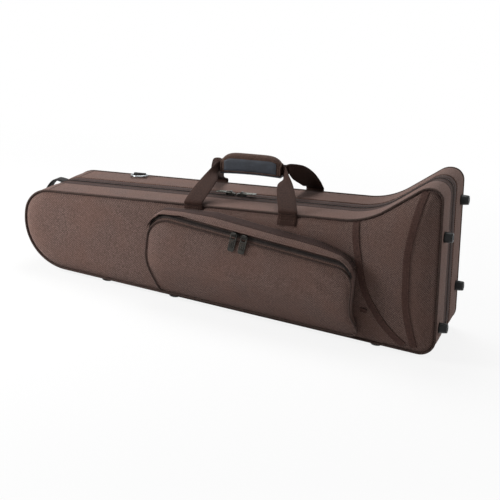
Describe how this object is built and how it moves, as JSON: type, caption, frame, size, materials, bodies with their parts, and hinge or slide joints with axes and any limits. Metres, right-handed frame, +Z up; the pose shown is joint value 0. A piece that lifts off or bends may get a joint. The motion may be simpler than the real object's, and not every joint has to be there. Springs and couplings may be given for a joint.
{
  "type": "trombone case",
  "caption": "Soft-sided hard-foam case for a tenor trombone, with a zipped lid, front pocket, wrapped carry handle, grab loop and fitted interior.",
  "frame": {"origin": "on the ground under the middle of the case's bounding box", "axes": "+X towards the bell end, +Z up with the case standing on its bottom feet, -Y towards the front with the pocket"},
  "size_m": [0.9264, 0.2974, 0.3286],
  "materials": {
    "case_fabric": "brown woven polyester over foam",
    "zip_tape": "dark brown ribbed tape",
    "zip_coil": "dark nylon coil",
    "piping": "dark bound cord",
    "brown_webbing": "dark brown woven webbing",
    "black_webbing": "black woven webbing",
    "grip_leather": "black grained leather over padding",
    "foot_rubber": "matt black moulded rubber",
    "gunmetal": "dark plated zinc, lightly worn",
    "bright_plate": "bright plated steel",
    "plush": "brown plush over foam"
  },
  "bodies": {
    "rear_half": {"rear_shell": "case_fabric", "rear_piping": "piping", "rear_zip_tape": "zip_tape", "main_zip_coil": "zip_coil", "hinge_leaf_rear": "zip_tape", "rear_strap_end_left": "brown_webbing", "rear_strap_end_right": "brown_webbing", "ring_tab": "black_webbing", "grab_loop": "black_webbing", "bell_foot_rear_upper": "foot_rubber", "bell_foot_rear_lower": "foot_rubber", "bottom_foot_rear_narrow": "foot_rubber", "bottom_foot_rear_middle": "foot_rubber", "bottom_foot_rear_bell": "foot_rubber", "slide_saddle_left": "plush", "slide_saddle_right": "plush", "bell_neck_cradle": "plush", "tuning_slide_cradle": "plush", "bell_rim_pad": "plush", "accessory_box": "plush", "mouthpiece_holder": "plush"},
    "front_half": {"front_shell": "case_fabric", "front_piping": "piping", "front_zip_tape": "zip_tape", "hinge_leaf_front": "zip_tape", "pocket_body": "case_fabric", "pocket_piping": "piping", "pocket_zip_tape": "zip_coil", "pocket_hood": "case_fabric", "valley_band": "zip_tape", "bell_band": "zip_tape", "side_tab": "zip_tape", "front_strap_end_left": "brown_webbing", "front_strap_end_right": "brown_webbing", "bell_foot_front_upper": "foot_rubber", "bell_foot_front_lower": "foot_rubber", "bottom_foot_front_narrow": "foot_rubber", "bottom_foot_front_middle": "foot_rubber", "bottom_foot_front_bell": "foot_rubber", "lid_pad": "plush"},
    "front_handle": {"front_strap": "brown_webbing", "grip_wrap": "grip_leather"},
    "grip_closure": {"grip_flap": "grip_leather"},
    "rear_handle": {"rear_strap": "brown_webbing"},
    "main_slider_left": {"main_slider_left": "gunmetal"},
    "main_slider_right": {"main_slider_right": "gunmetal"},
    "main_pull_left": {"main_pull_left": "bright_plate"},
    "main_pull_right": {"main_pull_right": "bright_plate"},
    "pocket_slider_left": {"pocket_slider_left": "gunmetal"},
    "pocket_slider_right": {"pocket_slider_right": "gunmetal"},
    "pocket_pull_left": {"pocket_pull_left": "gunmetal"},
    "pocket_pull_right": {"pocket_pull_right": "gunmetal"},
    "strap_ring": {"strap_ring": "bright_plate"},
    "accessory_lid": {"accessory_lid": "plush"},
    "neck_hold_strap": {"neck_hold_strap": "black_webbing"},
    "slide_hold_strap": {"slide_hold_strap": "black_webbing"}
  },
  "joints": [
    {"name": "lid_hinge", "type": "hinge", "parent": "rear_half", "child": "front_half", "pos_m": [0.01499, 0.01774, 0.0093], "axis": [1, 0, 0], "range_deg": [0, 160]},
    {"name": "front_handle_swing", "type": "hinge", "parent": "front_half", "child": "front_handle", "pos_m": [0.01495, -0.09876, 0.21053], "axis": [0.9936, 0, 0.1132], "range_deg": [0, 150]},
    {"name": "rear_handle_swing", "type": "hinge", "parent": "rear_half", "child": "rear_handle", "pos_m": [0.01495, 0.13424, 0.21053], "axis": [0.9936, 0, 0.1132], "range_deg": [-150, 0]},
    {"name": "grip_flap_hinge", "type": "hinge", "parent": "front_handle", "child": "grip_closure", "pos_m": [0.01262, 0.00074, 0.26185], "axis": [0.9936, 0, 0.1132], "range_deg": [-80, 0]},
    {"name": "main_slider_left_travel", "type": "slide", "parent": "rear_half", "child": "main_slider_left", "axis": [0.9936, 0, 0.1132], "range_m": [-0.29, 0]},
    {"name": "main_slider_right_travel", "type": "slide", "parent": "rear_half", "child": "main_slider_right", "axis": [0.9936, 0, 0.1132], "range_m": [0, 0.15]},
    {"name": "main_pull_left_flip", "type": "hinge", "parent": "main_slider_left", "child": "main_pull_left", "pos_m": [-0.02741, 0.01774, 0.21124], "axis": [0, 1, 0], "range_deg": [0, 110]},
    {"name": "main_pull_right_flip", "type": "hinge", "parent": "main_slider_right", "child": "main_pull_right", "pos_m": [-0.00356, 0.01774, 0.21396], "axis": [0, 1, 0], "range_deg": [-110, 0]},
    {"name": "pocket_slider_left_travel", "type": "slide", "parent": "front_half", "child": "pocket_slider_left", "axis": [0.9989, 0, -0.0461], "range_m": [-0.115, 0]},
    {"name": "pocket_slider_right_travel", "type": "slide", "parent": "front_half", "child": "pocket_slider_right", "axis": [0.9989, 0, -0.0461], "range_m": [0, 0.15]},
    {"name": "pocket_pull_left_flip", "type": "hinge", "parent": "pocket_slider_left", "child": "pocket_pull_left", "pos_m": [0.04103, -0.14119, 0.17438], "axis": [0.9989, 0, -0.0461], "range_deg": [-100, 0]},
    {"name": "pocket_pull_right_flip", "type": "hinge", "parent": "pocket_slider_right", "child": "pocket_pull_right", "pos_m": [0.06202, -0.14119, 0.17341], "axis": [0.9989, 0, -0.0461], "range_deg": [-100, 0]},
    {"name": "strap_ring_swing", "type": "hinge", "parent": "rear_half", "child": "strap_ring", "pos_m": [-0.2628, 0.10374, 0.18372], "axis": [0.9936, 0, 0.1132], "range_deg": [-150, 0]},
    {"name": "accessory_lid_hinge", "type": "hinge", "parent": "rear_half", "child": "accessory_lid", "pos_m": [-0.11501, 0.08614, 0.11], "axis": [1, 0, 0], "range_deg": [-100, 0]},
    {"name": "neck_strap_hinge", "type": "hinge", "parent": "rear_half", "child": "neck_hold_strap", "pos_m": [0.22099, 0.03374, 0.1466], "axis": [1, 0, 0], "range_deg": [0, 110]},
    {"name": "slide_strap_hinge", "type": "hinge", "parent": "rear_half", "child": "slide_hold_strap", "pos_m": [0.13999, 0.09744, 0.1434], "axis": [1, 0, 0], "range_deg": [-110, 0]}
  ]
}
